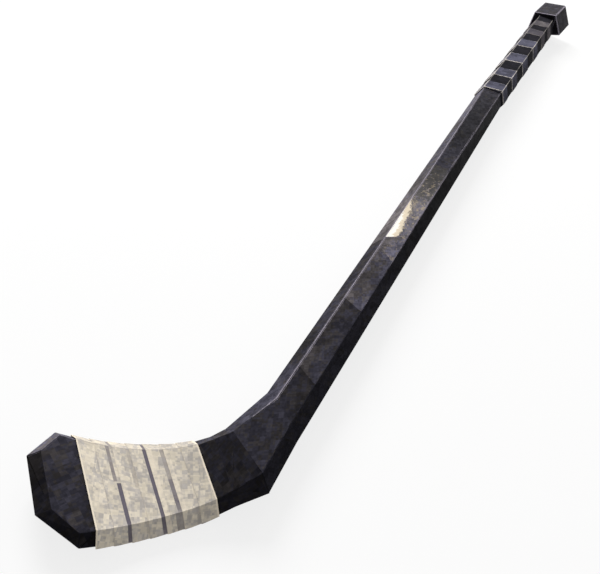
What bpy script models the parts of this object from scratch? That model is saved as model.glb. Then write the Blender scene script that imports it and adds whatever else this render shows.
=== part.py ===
"""Hockey stick in hand-cut flats: a hollow shaft, a curved blade and two windings of cloth tape.

The stick lies on its back. The shaft runs along +X to the butt, the blade points to -X and +Y,
and the side that meets the puck faces up. Every section has six corners: a flat on the
front, a flat on the back, and a ridge on each side.
"""
import bisect
import math

import bmesh
import bpy
from mathutils import Vector

# Clearances
FIT_GAP = 0.0003          # between pieces that touch
TAPE_GAP = 0.0004         # between the blade and the tape on it
TURN_GAP = 0.0006         # between neighbouring turns of the blade tape

# Shaft and neck
SHAFT_LENGTH = 0.949      # heel corner to the near face of the knob
SHAFT_HALF_WIDTH = 0.018  # axis to a side ridge
HEEL_HALF_THICKNESS = 0.0085
NECK_HALF_THICKNESS = 0.0106
JOINT_HALF_THICKNESS = 0.0112
BUTT_HALF_THICKNESS = 0.0175
NECK_FLAT = 0.0087        # half width of the front flat on the neck and the lower shaft
GRIP_FLAT = 0.0108        # the same where the grip tape starts
BUTT_FLAT = 0.0103        # the same at the knob
BUTT_SWAY = 0.009         # how far the taped end bends away from the blade's side, at the butt
TUBE_WALL = 0.0026

# Flats cut across the shaft: distance from the heel on the axis, and skew along / across
BEND_AT, BEND_SKEW = 0.0484, 0.65
LOWER_AT, LOWER_SKEW = 0.0836, 0.43
MIDDLE_AT, MIDDLE_SKEW = 0.167, 0.32
FAIRING_AT, FAIRING_SKEW = 0.241, 0.66
JOINT_AT, JOINT_SKEW = 0.2686, -0.78
UPPER_AT, UPPER_SKEW = 0.407, 0.20

# Heel, where the blade is mitred to the neck
HEEL_AT, HEEL_SKEW = 0.0053, 0.50
HEEL_FLAT_HIGH = 0.0198   # edge of the front flat on the blade's side of the axis
HEEL_FLAT_LOW = 0.0103
HEEL_RIDGE_HIGH = 0.0272
HEEL_RIDGE_LOW = 0.0195

# Blade, measured along it from the heel corner and across it towards its top edge
LIE_ANGLE = math.radians(140.5)   # from the shaft's direction to the blade's
TOP_AT_HEEL = 0.0262      # top edge of the front flat, at the heel, belly and toe
TOP_AT_BELLY = 0.0346
TOP_AT_TOE = 0.0613
BOTTOM_AT_HEEL = -0.0101  # bottom edge of the front flat at the same places
BOTTOM_AT_BELLY = -0.0086
BOTTOM_AT_TOE = -0.005
TOP_RUN_AT_ENDS = 0.0061  # width of the slope from the top edge's flat to its ridge
TOP_RUN_AT_BELLY = 0.0081
BOTTOM_RUN_AT_HEEL = 0.0066   # the same along the bottom edge
BOTTOM_RUN_AT_TOE = 0.0062
TOE_CUT_AT = 0.104        # where the two toe corners are cut off
TOE_FLAT_END = 0.1163
TOE_RIDGE_END = 0.1226
TOE_LOW = 0.0119          # toe end's lower and upper corner
TOE_HIGH = 0.0514
TOE_HALF_THICKNESS = 0.0058
TOE_RISE = 0.0136         # how far the curve lifts the toe off the ground
SKIN_WALL = 0.0018
SPAR_WIDTH = 0.0030

# Blade tape
TAPE_THICKNESS = 0.0008
TAPE_START = 0.022
TAPE_PITCH = 0.0104
TAPE_TURNS = 7
BELLY_TURN = 2            # the turn that lies on the ground, counted from 0 at the heel

# Grip tape
GRIP_AT = 0.626           # its lower end
UNDERWRAP_THICKNESS = 0.0009
STRIP_THICKNESS = 0.0010
STRIP_TURNS = 5           # whole turns, before it crosses the front once more
STRIP_WANDER = 0.009      # how far the turns stray from an even lay
STRIP_COVER = 0.5         # share of a turn that the strip covers
STRIP_END_GAP = 0.0195    # bare under-wrap between the last turn and the knob
FRONT_STEP = 0.1          # share of a turn that the strip moves on while it crosses the front

# Knob and the pieces inside the tubes
KNOB_LENGTH = 0.064
KNOB_FLAT = 0.0166
KNOB_RIDGE_HIGH = 0.0170  # from the middle of its flats to the ridge on the blade's side
KNOB_RIDGE_LOW = 0.0350
KNOB_FRONT_HIGH = 0.0215  # from the axis up to the front flat, which is tilted
KNOB_FRONT_LOW = 0.0270
KNOB_BACK = 0.0252        # from the axis down to the back flat, which the stick lies on
KNOB_BACK_LOW = 0.0140    # from the middle of its flats to the back flat's low edge
KNOB_LIP_INSIDE = 0.0210  # the low side ends in a lip, whose underside starts here
KNOB_LIP_DROP = 0.0045    # and lies this far behind the axis there
KNOB_STEP = 0.0042        # how far the knob starts toward the blade's side of the axis
KNOB_LEAN = 0.0053        # how far it leans away from that side by its end
KNOB_EDGE = 0.0009        # small chamfer on its edges
PLUG_IN_SHAFT = 0.070
PLUG_IN_KNOB = 0.038
COUPLER_IN_NECK = 0.038
COUPLER_IN_SHAFT = 0.042
COUPLER_WALL = 0.0022
TENON_END = 0.118         # how far the hosel reaches up the neck

# The knob's back flat carries the shaft's axis, and the tape's belly is on the ground too
AXIS_HEIGHT = KNOB_BACK
TAPE_OUTSIDE = TAPE_GAP + TAPE_THICKNESS
BELLY_START = TAPE_START + BELLY_TURN * TAPE_PITCH
BELLY_END = BELLY_START + TAPE_PITCH
ALONG = Vector((math.cos(LIE_ANGLE), math.sin(LIE_ANGLE), 0))
ACROSS = Vector((math.sin(LIE_ANGLE), -math.cos(LIE_ANGLE), 0))
SIDES = 6
HIGH_RIDGE, HIGH_FRONT, LOW_FRONT, LOW_RIDGE, LOW_BACK, HIGH_BACK = range(SIDES)


def grown(flat, ridge, half, grow):
    """One side of a section, its flat's edge and its ridge, moved outward by grow."""
    run = ridge - flat
    slant = math.hypot(run, half)
    return flat + grow * (slant - run) / half, ridge + grow * slant / half


def corners(flat_high, ridge_high, flat_low, ridge_low, half, grow):
    """Six corners (across, height) of a section; the low side is given by negative values."""
    fh, rh = grown(flat_high, ridge_high, half, grow)
    fl, rl = grown(-flat_low, -ridge_low, half, grow)
    top = half + grow
    return [(rh, 0), (fh, top), (-fl, top), (-rl, 0), (-fl, -top), (fh, -top)]


def mix(a, b, share):
    return a + (b - a) * share


def axis_side(at):
    """The shaft's axis, straight up to the grip and slightly bent aside from there."""
    return -BUTT_SWAY * max(0.0, at - GRIP_AT) / (SHAFT_LENGTH - GRIP_AT)


def shaft_ring(at, skew, flat, ridge, half, grow):
    """A ring of six points round the shaft, skewed across it."""
    outline = corners(flat, ridge, -flat, -ridge, half, grow)
    side = axis_side(at)
    return [Vector((at + skew * y, side + y, AXIS_HEIGHT + z)) for y, z in outline]


def heel_ring(grow, shift=0.0):
    """The mitre between the neck and the blade."""
    outline = corners(HEEL_FLAT_HIGH, HEEL_RIDGE_HIGH, -HEEL_FLAT_LOW, -HEEL_RIDGE_LOW,
                      HEEL_HALF_THICKNESS, grow)
    return [Vector((HEEL_AT + shift + HEEL_SKEW * y, y, AXIS_HEIGHT + z)) for y, z in outline]


def neck_ring(at, skew, half, grow):
    return shaft_ring(at, skew, NECK_FLAT, SHAFT_HALF_WIDTH, half, grow)


def bend_ring(grow):
    return neck_ring(BEND_AT, BEND_SKEW, HEEL_HALF_THICKNESS, grow)


def neck_rings(grow):
    """Outside of the neck, from the mitre up to its joint with the shaft tube."""
    lower_share = (LOWER_AT - BEND_AT) / (FAIRING_AT - BEND_AT)
    middle_share = (MIDDLE_AT - BEND_AT) / (FAIRING_AT - BEND_AT)
    lower = mix(HEEL_HALF_THICKNESS, NECK_HALF_THICKNESS, lower_share)
    middle = mix(HEEL_HALF_THICKNESS, NECK_HALF_THICKNESS, middle_share)
    return [
        heel_ring(grow, FIT_GAP / 2),
        bend_ring(grow),
        neck_ring(LOWER_AT, LOWER_SKEW, lower, grow),
        neck_ring(MIDDLE_AT, MIDDLE_SKEW, middle, grow),
        neck_ring(FAIRING_AT, FAIRING_SKEW, NECK_HALF_THICKNESS, grow),
        neck_ring(JOINT_AT - FIT_GAP / 2, JOINT_SKEW, JOINT_HALF_THICKNESS, grow),
    ]


def half_thickness_at(at):
    """Half thickness of the shaft tube, which grows evenly from the joint to the butt."""
    share = (at - JOINT_AT) / (SHAFT_LENGTH - JOINT_AT)
    return mix(JOINT_HALF_THICKNESS, BUTT_HALF_THICKNESS, share)


def grip_ring(at, grow):
    """A square ring on the shaft's taped end."""
    flat = mix(GRIP_FLAT, BUTT_FLAT, (at - GRIP_AT) / (SHAFT_LENGTH - GRIP_AT))
    return shaft_ring(at, 0.0, flat, SHAFT_HALF_WIDTH, half_thickness_at(at), grow)


def tube_rings(grow):
    """Outside of the shaft tube, from its joint with the neck to the butt."""
    joint = neck_ring(JOINT_AT + FIT_GAP / 2, JOINT_SKEW, JOINT_HALF_THICKNESS, grow)
    upper = neck_ring(UPPER_AT, UPPER_SKEW, half_thickness_at(UPPER_AT), grow)
    return [joint, upper, grip_ring(GRIP_AT, grow), grip_ring(SHAFT_LENGTH - FIT_GAP, grow)]


def bore_ring(at, skew, clearance):
    """The straight, evenly tapered bore of neck and tube, or what fits in it with a clearance."""
    share = at / SHAFT_LENGTH
    inset = -TUBE_WALL - clearance
    heel = shaft_ring(at, skew, NECK_FLAT, SHAFT_HALF_WIDTH, HEEL_HALF_THICKNESS, inset)
    butt = shaft_ring(at, skew, BUTT_FLAT, SHAFT_HALF_WIDTH, BUTT_HALF_THICKNESS, inset)
    return [a.lerp(b, share) for a, b in zip(heel, butt)]


def blade_half_thickness(s):
    return mix(HEEL_HALF_THICKNESS, TOE_HALF_THICKNESS, s / TOE_FLAT_END)


def blade_curve(s):
    """Rise of the blade's middle surface, and its slope from the belly to the toe."""
    if s < BELLY_START:
        high = AXIS_HEIGHT - TAPE_OUTSIDE - HEEL_HALF_THICKNESS
        return high * ((BELLY_START - s) / BELLY_START) ** 2, 0.0
    if s < BELLY_END:
        return 0.0, 0.0
    run = TOE_FLAT_END - BELLY_END
    share = (s - BELLY_END) / run
    return TOE_RISE * share ** 2, 2 * TOE_RISE * share / run


def sweep(s, heel, belly, toe):
    """A smooth curve along the blade through its values at heel, belly and toe."""
    at_heel = (s - BELLY_START) * (s - TOE_CUT_AT) / (BELLY_START * TOE_CUT_AT)
    at_belly = s * (TOE_CUT_AT - s) / (BELLY_START * (TOE_CUT_AT - BELLY_START))
    at_toe = s * (s - BELLY_START) / (TOE_CUT_AT * (TOE_CUT_AT - BELLY_START))
    return heel * at_heel + belly * at_belly + toe * at_toe


def blade_top(s):
    return sweep(s, TOP_AT_HEEL, TOP_AT_BELLY, TOP_AT_TOE)


def blade_bottom(s):
    return sweep(s, BOTTOM_AT_HEEL, BOTTOM_AT_BELLY, BOTTOM_AT_TOE)


def blade_point(s, t, height):
    """A point of the blade: along it, across it, and off its middle surface.

    Sections stand upright from the heel to the belly, and lean with the curve from there.
    """
    rise, slope = blade_curve(s)
    off = height / math.hypot(1, slope)
    plan = ALONG * (s - slope * off) + ACROSS * t
    middle = TAPE_OUTSIDE + blade_half_thickness(s) + rise
    return Vector((plan.x, plan.y, middle + off))


def blade_section(s, grow):
    top = blade_top(s)
    bottom = blade_bottom(s)
    run = mix(BOTTOM_RUN_AT_HEEL, BOTTOM_RUN_AT_TOE, s / TOE_FLAT_END)
    top_run = sweep(s, TOP_RUN_AT_ENDS, TOP_RUN_AT_BELLY, TOP_RUN_AT_ENDS)
    return corners(top, top + top_run, bottom, bottom - run, blade_half_thickness(s), grow)


def blade_ring(s, grow):
    return [blade_point(s, t, z) for t, z in blade_section(s, grow)]


def toe_ring(grow):
    """The blade's end, whose ridge stands further out than its flats."""
    half = blade_half_thickness(TOE_FLAT_END)
    flat_end, ridge_end = grown(TOE_FLAT_END, TOE_RIDGE_END, half, grow)
    corner = grow * math.tan(math.pi / 8)
    high = TOE_HIGH + corner
    low = TOE_LOW - corner
    top = half + grow
    return [
        blade_point(ridge_end, high, 0),
        blade_point(flat_end, high, top),
        blade_point(flat_end, low, top),
        blade_point(ridge_end, low, 0),
        blade_point(flat_end, low, -top),
        blade_point(flat_end, high, -top),
    ]


def blade_stations():
    """Places along the blade where it bends: every half turn of the tape, and a few beyond."""
    step = TAPE_PITCH / 2
    count = 2 * TAPE_TURNS
    taped = [TAPE_START + step * i for i in range(count + 1)]
    return [TAPE_START - TAPE_PITCH] + taped + [TOE_CUT_AT]


def blade_rings(grow):
    """Outside of the blade from the mitre to the toe."""
    middle = [blade_ring(s, grow) for s in blade_stations()]
    return [heel_ring(grow, -FIT_GAP / 2)] + middle + [toe_ring(grow)]


def add_ring(bm, points):
    return [bm.verts.new(p) for p in points]


def bridge(bm, near, far):
    """A band of faces between two rings of as many points."""
    for i in range(len(near)):
        bm.faces.new((near[i - 1], near[i], far[i], far[i - 1]))


def fan_cap(bm, ring):
    """Close a ring from its first point, a ridge, so both slopes of the end stay flat."""
    for i in range(1, len(ring) - 1):
        bm.faces.new((ring[0], ring[i], ring[i + 1]))


def band_cap(bm, ring):
    """Close the flat section of a strip, across its thickness."""
    for i in range(len(ring) // 2 - 1):
        bm.faces.new((ring[i], ring[i + 1], ring[-2 - i], ring[-1 - i]))


def finish(bm, name, color, roughness, metallic=0.0):
    """Turn the mesh into a named object with its own material."""
    bmesh.ops.triangulate(bm, faces=bm.faces[:], quad_method="SHORT_EDGE")
    bmesh.ops.recalc_face_normals(bm, faces=bm.faces[:])
    mesh = bpy.data.meshes.new(name)
    bm.to_mesh(mesh)
    bm.free()
    material = bpy.data.materials.new(name)
    material.use_nodes = True
    shader = material.node_tree.nodes["Principled BSDF"]
    shader.inputs["Base Color"].default_value = (*color, 1)
    shader.inputs["Roughness"].default_value = roughness
    shader.inputs["Metallic"].default_value = metallic
    mesh.materials.append(material)
    piece = bpy.data.objects.new(name, mesh)
    bpy.context.scene.collection.objects.link(piece)
    return piece


def solid_mesh(sections, cap=fan_cap):
    """A closed solid lofted through rings of points."""
    bm = bmesh.new()
    rings = [add_ring(bm, section) for section in sections]
    for near, far in zip(rings, rings[1:]):
        bridge(bm, near, far)
    cap(bm, rings[0])
    cap(bm, rings[-1])
    return bm


def tube_mesh(outer, inner):
    """A tube between two lofts of as many rings, open at both ends."""
    bm = bmesh.new()
    outside = [add_ring(bm, section) for section in outer]
    inside = [add_ring(bm, section) for section in inner]
    for rings in (outside, inside):
        for near, far in zip(rings, rings[1:]):
            bridge(bm, near, far)
    bridge(bm, outside[0], inside[0])
    bridge(bm, outside[-1], inside[-1])
    return bm


def cut(piece, cutter):
    """Take the cutter out of the piece."""
    cutter.hide_render = True
    cutter.display_type = "WIRE"
    modifier = piece.modifiers.new("cavity", "BOOLEAN")
    modifier.operation = "DIFFERENCE"
    modifier.solver = "EXACT"
    modifier.object = cutter


def make_shaft_tube():
    outer = tube_rings(0.0)
    inner = [
        bore_ring(JOINT_AT + FIT_GAP / 2, JOINT_SKEW, 0.0),
        bore_ring(UPPER_AT, UPPER_SKEW, 0.0),
        bore_ring(GRIP_AT, 0.0, 0.0),
        bore_ring(SHAFT_LENGTH - FIT_GAP, 0.0, 0.0),
    ]
    return finish(tube_mesh(outer, inner), "shaft_tube", (0.035, 0.034, 0.042), 0.35)


def make_neck_tube():
    outer = neck_rings(0.0)
    inner = [
        heel_ring(-TUBE_WALL, FIT_GAP / 2),
        bend_ring(-TUBE_WALL),
        bore_ring(LOWER_AT, LOWER_SKEW, 0.0),
        bore_ring(MIDDLE_AT, MIDDLE_SKEW, 0.0),
        bore_ring(FAIRING_AT, FAIRING_SKEW, 0.0),
        bore_ring(JOINT_AT - FIT_GAP / 2, JOINT_SKEW, 0.0),
    ]
    return finish(tube_mesh(outer, inner), "neck_tube", (0.032, 0.031, 0.038), 0.45)


def make_joint_coupler():
    """The sleeve glued into both tubes where they meet."""
    ends = (JOINT_AT - COUPLER_IN_NECK, JOINT_AT + COUPLER_IN_SHAFT)
    outer = [bore_ring(at, 0.0, FIT_GAP) for at in ends]
    inner = [bore_ring(at, 0.0, FIT_GAP + COUPLER_WALL) for at in ends]
    return finish(tube_mesh(outer, inner), "joint_coupler", (0.05, 0.05, 0.05), 0.6)


def make_hosel_block():
    """The dense block in the heel, with the tenon that carries the blade in the neck."""
    in_blade = -SKIN_WALL - FIT_GAP
    in_neck = -TUBE_WALL - FIT_GAP
    rings = [
        blade_ring(TAPE_START - FIT_GAP, in_blade),
        blade_ring(TAPE_START - TAPE_PITCH, in_blade),
        heel_ring(in_neck),
        bend_ring(in_neck),
        bore_ring(LOWER_AT, LOWER_SKEW, FIT_GAP),
        bore_ring(TENON_END, 0.0, FIT_GAP),
    ]
    return finish(solid_mesh(rings), "hosel_block", (0.09, 0.09, 0.09), 0.7)


def make_blade_cavity():
    """What is taken out of both skins."""
    rings = [heel_ring(-SKIN_WALL, FIT_GAP)]
    rings += [blade_ring(s, -SKIN_WALL) for s in blade_stations()]
    rings += [toe_ring(-SKIN_WALL)]
    return finish(solid_mesh(rings), "blade_cavity", (0.1, 0.1, 0.1), 0.5)


def make_skin(name, around, side, cavity, color):
    """One face of the blade, from ridge to ridge; it meets the other face at the ridges."""
    lift = Vector((0, 0, side * FIT_GAP / 2))
    rings = []
    for ring in blade_rings(0.0):
        first, *flat, last = [ring[corner] for corner in around]
        rings.append([first + lift, *flat, last + lift])
    skin = finish(solid_mesh(rings), name, color, 0.45)
    cut(skin, cavity)
    return skin


def along_flat(upper, lower, offset):
    """A point on a flat, at a distance from its middle."""
    return (upper + lower) / 2 + (upper - lower).normalized() * offset


def filler_sections():
    """The space inside the skins, from the hosel block to the toe."""
    grow = -SKIN_WALL - FIT_GAP
    places = [TAPE_START + FIT_GAP] + blade_stations()[2:]
    return [blade_ring(s, grow) for s in places] + [toe_ring(grow)]


def spar_section(ring, half):
    front = (ring[HIGH_FRONT], ring[LOW_FRONT])
    back = (ring[HIGH_BACK], ring[LOW_BACK])
    return [along_flat(*front, half), along_flat(*front, -half),
            along_flat(*back, -half), along_flat(*back, half)]


def upper_section(ring, edge):
    front = along_flat(ring[HIGH_FRONT], ring[LOW_FRONT], edge)
    back = along_flat(ring[HIGH_BACK], ring[LOW_BACK], edge)
    return [ring[HIGH_RIDGE], ring[HIGH_FRONT], front, back, ring[HIGH_BACK]]


def lower_section(ring, edge):
    front = along_flat(ring[HIGH_FRONT], ring[LOW_FRONT], -edge)
    back = along_flat(ring[HIGH_BACK], ring[LOW_BACK], -edge)
    return [ring[LOW_RIDGE], ring[LOW_BACK], back, front, ring[LOW_FRONT]]


def make_blade_fillers():
    """The spar that joins the two skins and the foam on both sides of it."""
    half = SPAR_WIDTH / 2
    spar = [spar_section(ring, half) for ring in filler_sections()]
    upper = [upper_section(ring, half + FIT_GAP) for ring in filler_sections()]
    lower = [lower_section(ring, half + FIT_GAP) for ring in filler_sections()]
    return [
        finish(solid_mesh(spar), "blade_spar", (0.05, 0.05, 0.05), 0.6),
        finish(solid_mesh(upper), "upper_foam_core", (0.85, 0.78, 0.55), 0.9),
        finish(solid_mesh(lower), "lower_foam_core", (0.85, 0.78, 0.55), 0.9),
    ]


def point_on(section, places, at, side, share, grow):
    """A point on a taped stretch, whose sections are joined straight between certain places:
    at a place along it, on one side, a share of the way between that side's corners."""
    index = bisect.bisect_right(places, at, 1, len(places) - 1) - 1
    near = section(places[index], grow)
    far = section(places[index + 1], grow)
    along = (at - places[index]) / (places[index + 1] - places[index])
    here = near[side].lerp(far[side], along)
    after = (side + 1) % SIDES
    there = near[after].lerp(far[after], along)
    return here.lerp(there, share)


def winding_path(turns, front_step):
    """Steps of a winding: side, share of that side, and the share of a turn it has moved on.

    The tape starts on the high ridge, crosses the front nearly square, moves on over the back,
    and ends after it has crossed the front once more.
    """
    path = []
    parts = 2
    around = SIDES * parts
    for step in range(turns * around + around // 2 + 1):
        turn, rest = divmod(step, around)
        place = 2 * rest / around
        if place <= 1:
            moved = front_step * place
        else:
            moved = front_step + (1 - front_step) * (place - 1)
        side, part = divmod(rest, parts)
        path.append((side, part / parts, turn + moved))
    return path


def winding_sections(section, places, lay, path, cover, inner, outer, pieces):
    """The tape's flat section at each step of its path, from edge to edge."""
    loops = []
    for side, share, turn in path:
        near = lay(turn)
        width = lay(turn + cover) - near
        across = [near + width * i / pieces for i in range(pieces + 1)]
        under = [point_on(section, places, at, side, share, inner) for at in across]
        over = [point_on(section, places, at, side, share, outer) for at in reversed(across)]
        loops.append(under + over)
    return loops


def least_gap(loops, pieces):
    """Least distance from a turn's far edge to the next turn's near edge, on their points."""
    least = math.inf
    around = 2 * SIDES
    for index in range(len(loops) - around):
        edge = loops[index][pieces]
        nearby = loops[max(0, index + around - 2):index + around + 3]
        for first, second in zip(nearby, nearby[1:]):
            span = second[0] - first[0]
            share = max(0.0, min(1.0, (edge - first[0]).dot(span) / span.length_squared))
            least = min(least, (first[0] + span * share - edge).length)
    return least


def make_winding(name, loops, pieces, color):
    print(f"{name}: least gap between turns {least_gap(loops, pieces) * 1000:.2f} mm")
    return finish(solid_mesh(loops, band_cap), name, color, 0.9)


def tape_lay(turn):
    """Where the near edge of the blade tape lies after so many turns."""
    return TAPE_START + TAPE_PITCH * turn


def make_blade_tape():
    """Cloth tape, laid square on the front and moved on over the back."""
    pieces = 4
    path = winding_path(TAPE_TURNS - 1, 0.0)
    cover = 1 - TURN_GAP / TAPE_PITCH
    loops = winding_sections(blade_ring, blade_stations(), tape_lay, path, cover,
                             TAPE_GAP, TAPE_OUTSIDE, pieces)
    return make_winding("blade_tape", loops, pieces, (0.70, 0.64, 0.52))


def strip_lay(turn):
    """Where the near edge of the grip strip lies after so many turns."""
    pitch = (SHAFT_LENGTH - STRIP_END_GAP - GRIP_AT) / (STRIP_TURNS + STRIP_COVER)
    wander = STRIP_WANDER * math.sin(math.tau * turn / STRIP_TURNS)
    return GRIP_AT + pitch * turn - wander


def make_under_wrap():
    """The closed layer of tape under the grip."""
    ends = (GRIP_AT, SHAFT_LENGTH - FIT_GAP)
    inner = [grip_ring(at, FIT_GAP) for at in ends]
    outer = [grip_ring(at, FIT_GAP + UNDERWRAP_THICKNESS) for at in ends]
    return finish(tube_mesh(outer, inner), "grip_under_wrap", (0.03, 0.03, 0.04), 0.9)


def make_grip_strip():
    """A strip of cloth wound over the under-wrap in open turns."""
    pieces = 2
    path = winding_path(STRIP_TURNS, FRONT_STEP)
    under = 2 * FIT_GAP + UNDERWRAP_THICKNESS
    loops = winding_sections(grip_ring, (GRIP_AT, SHAFT_LENGTH), strip_lay, path, STRIP_COVER,
                             under, under + STRIP_THICKNESS, pieces)
    return make_winding("grip_strip", loops, pieces, (0.10, 0.11, 0.15))


def make_butt_plug():
    """The wooden plug glued into the tube and into the knob."""
    rings = [bore_ring(SHAFT_LENGTH - PLUG_IN_SHAFT, 0.0, FIT_GAP)]
    rings += [bore_ring(SHAFT_LENGTH, 0.0, FIT_GAP)]
    rings += [[p + Vector((PLUG_IN_KNOB, 0, 0)) for p in rings[-1]]]
    return finish(solid_mesh(rings), "butt_plug", (0.55, 0.40, 0.24), 0.7)


def knob_ring(at):
    """The knob's section: lopsided, its front tilted, leaning away from the blade's side."""
    outline = [(KNOB_RIDGE_HIGH, 0), (KNOB_FLAT, KNOB_FRONT_HIGH), (-KNOB_FLAT, KNOB_FRONT_LOW),
               (-KNOB_RIDGE_LOW, 0), (-KNOB_LIP_INSIDE, -KNOB_LIP_DROP),
               (-KNOB_BACK_LOW, -KNOB_BACK), (KNOB_FLAT, -KNOB_BACK)]
    side = axis_side(SHAFT_LENGTH) + KNOB_STEP
    side -= KNOB_LEAN * (at - SHAFT_LENGTH) / KNOB_LENGTH
    return [Vector((at, side + y, AXIS_HEIGHT + z)) for y, z in outline]


def make_end_knob():
    """The block on the butt, with a socket for the plug."""
    ends = (SHAFT_LENGTH, SHAFT_LENGTH + KNOB_LENGTH)
    bm = solid_mesh([knob_ring(at) for at in ends])
    bmesh.ops.recalc_face_normals(bm, faces=bm.faces[:])
    bmesh.ops.dissolve_limit(bm, angle_limit=0.01, verts=bm.verts[:], edges=bm.edges[:])
    bmesh.ops.bevel(bm, geom=bm.edges[:], offset=KNOB_EDGE, offset_type="OFFSET", segments=1,
                    profile=0.5, affect="EDGES", clamp_overlap=True, material=-1)
    knob = finish(bm, "end_knob", (0.055, 0.05, 0.058), 0.6)
    mouth = bore_ring(SHAFT_LENGTH, 0.0, 0.0)
    before = [p - Vector((KNOB_EDGE, 0, 0)) for p in mouth]
    bottom = [p + Vector((PLUG_IN_KNOB + FIT_GAP, 0, 0)) for p in mouth]
    socket = finish(solid_mesh([before, bottom]), "knob_socket", (0.1, 0.1, 0.1), 0.5)
    cut(knob, socket)
    return [knob, socket]


def centre_of(pieces):
    """Middle of the pieces' box in plan."""
    points = [v.co for piece in pieces for v in piece.data.vertices]
    xs = [p.x for p in points]
    ys = [p.y for p in points]
    return Vector(((min(xs) + max(xs)) / 2, (min(ys) + max(ys)) / 2, 0))


def main():
    for item in list(bpy.data.objects):
        bpy.data.objects.remove(item)
    cavity = make_blade_cavity()
    front = make_skin("blade_front_skin", (HIGH_RIDGE, HIGH_FRONT, LOW_FRONT, LOW_RIDGE),
                      1, cavity, (0.033, 0.032, 0.040))
    back = make_skin("blade_back_skin", (LOW_RIDGE, LOW_BACK, HIGH_BACK, HIGH_RIDGE),
                     -1, cavity, (0.030, 0.029, 0.036))
    pieces = [make_shaft_tube(), make_neck_tube(), make_joint_coupler(), make_hosel_block()]
    pieces += [front, back, cavity, make_blade_tape(), make_under_wrap(), make_grip_strip()]
    pieces += make_blade_fillers() + [make_butt_plug()] + make_end_knob()
    frame = bpy.data.objects.new("stick_frame", None)
    bpy.context.scene.collection.objects.link(frame)
    frame.location = -centre_of(pieces)
    for piece in pieces:
        piece.parent = frame


main()
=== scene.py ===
"""Hockey stick: worn composite shaft and blade, cloth tape on the blade and a banded cloth grip.

The packed solids are the frame. The outer rigid pieces are shown as copies of them with
softened, worn edges, the blade tape and the grip's strip as cloth laid turn by turn, and the
under-wrap as a sleeve with low laps.
"""
import bisect
import math
import random

import bmesh
import bpy
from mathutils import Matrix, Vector


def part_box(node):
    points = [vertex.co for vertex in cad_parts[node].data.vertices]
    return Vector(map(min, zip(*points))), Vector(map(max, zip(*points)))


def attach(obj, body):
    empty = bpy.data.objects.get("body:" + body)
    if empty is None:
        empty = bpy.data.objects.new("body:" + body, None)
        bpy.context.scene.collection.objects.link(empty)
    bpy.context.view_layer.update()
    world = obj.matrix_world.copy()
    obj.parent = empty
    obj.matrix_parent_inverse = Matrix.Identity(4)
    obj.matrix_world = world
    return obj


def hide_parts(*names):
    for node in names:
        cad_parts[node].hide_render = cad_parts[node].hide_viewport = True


bl_info = {
    "name": "Hockey Stick",
    "version": (1, 0, 0),
    "blender": (4, 5, 0),
    "location": "View3D > Sidebar > Stick",
    "description": "Builds the looks of a taped hockey stick around its packed solids",
    "category": "Object",
}

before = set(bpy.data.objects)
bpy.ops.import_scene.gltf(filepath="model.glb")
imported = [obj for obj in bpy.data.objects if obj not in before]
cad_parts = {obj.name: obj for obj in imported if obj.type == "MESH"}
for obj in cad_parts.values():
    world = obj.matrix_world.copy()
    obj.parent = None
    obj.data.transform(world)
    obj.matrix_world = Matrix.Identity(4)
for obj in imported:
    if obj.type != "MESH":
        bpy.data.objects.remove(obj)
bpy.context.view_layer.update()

# Sizes of the solids, in metres
FIT_GAP = 0.0003
SHAFT_LENGTH = 0.949
SHAFT_HALF_WIDTH = 0.018
HEEL_HALF_THICKNESS = 0.0085
JOINT_AT, JOINT_SKEW = 0.2686, -0.78
JOINT_HALF_THICKNESS = 0.0112
BUTT_HALF_THICKNESS = 0.0175
GRIP_AT = 0.626
GRIP_FLAT = 0.0108
BUTT_FLAT = 0.0103
BUTT_SWAY = 0.009
KNOB_LENGTH = 0.064
AXIS_HEIGHT = 0.0252
LIE_ANGLE = math.radians(140.5)
TOP = (0.0262, 0.0346, 0.0613)          # at the heel, belly and toe, as the next two
BOTTOM = (-0.0101, -0.0086, -0.005)
TOP_RUN = (0.0061, 0.0081, 0.0061)
BOTTOM_RUN = (0.0066, 0.0062)           # at the heel and toe
TOE_CUT_AT = 0.104
TOE_FLAT_END = 0.1163
TOE_HALF_THICKNESS = 0.0058
TOE_RISE = 0.0136
BELLY_START, BELLY_END = 0.0428, 0.0532
TAPE_START = 0.022
TAPE_PITCH = 0.0104
TAPE_TURNS = 7           # times that the tape crosses the blade's front
TAPE_OUTSIDE = 0.0012
STRIP_TURNS = 5
STRIP_WANDER = 0.009
STRIP_COVER = 0.5        # share of a turn that the strip covers
STRIP_END_GAP = 0.0195
FRONT_STEP = 0.1         # share of a turn that the strip moves on while it crosses the front

# Skewed lines across the shaft where its flats change: distance from the heel, skew
ZONES = {
    "heel": (0.0053, 0.50), "bend": (0.0484, 0.65), "lower": (0.0836, 0.43),
    "middle": (0.167, 0.32), "fairing": (0.241, 0.66), "joint": (JOINT_AT, JOINT_SKEW),
    "upper": (0.407, 0.20), "grip": (GRIP_AT, 0.0), "butt": (SHAFT_LENGTH, 0.0),
}
ZONE_TOLERANCE = 0.0002

# Directions along the blade, across it, and up
ALONG = Vector((math.cos(LIE_ANGLE), math.sin(LIE_ANGLE), 0))
ACROSS = Vector((math.sin(LIE_ANGLE), -math.cos(LIE_ANGLE), 0))
UP = Vector((0, 0, 1))
SIDES = 6
BODY = "root"

# Directions that the blocky patches in the paint lie in, on the shaft and on the blade
SHAFT_GRAIN = ((0.50, -1.25), (0.77, 0.59))
BLADE_GRAIN = ((1.04, 0.27), (-0.30, 0.92))

# Softened solids
SHARP_ANGLE = math.radians(12)
NARROW_FACE = 0.0008
MERGE_WITHIN = 0.00001
BLADE_EDGE_SHARE = 0.75


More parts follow.
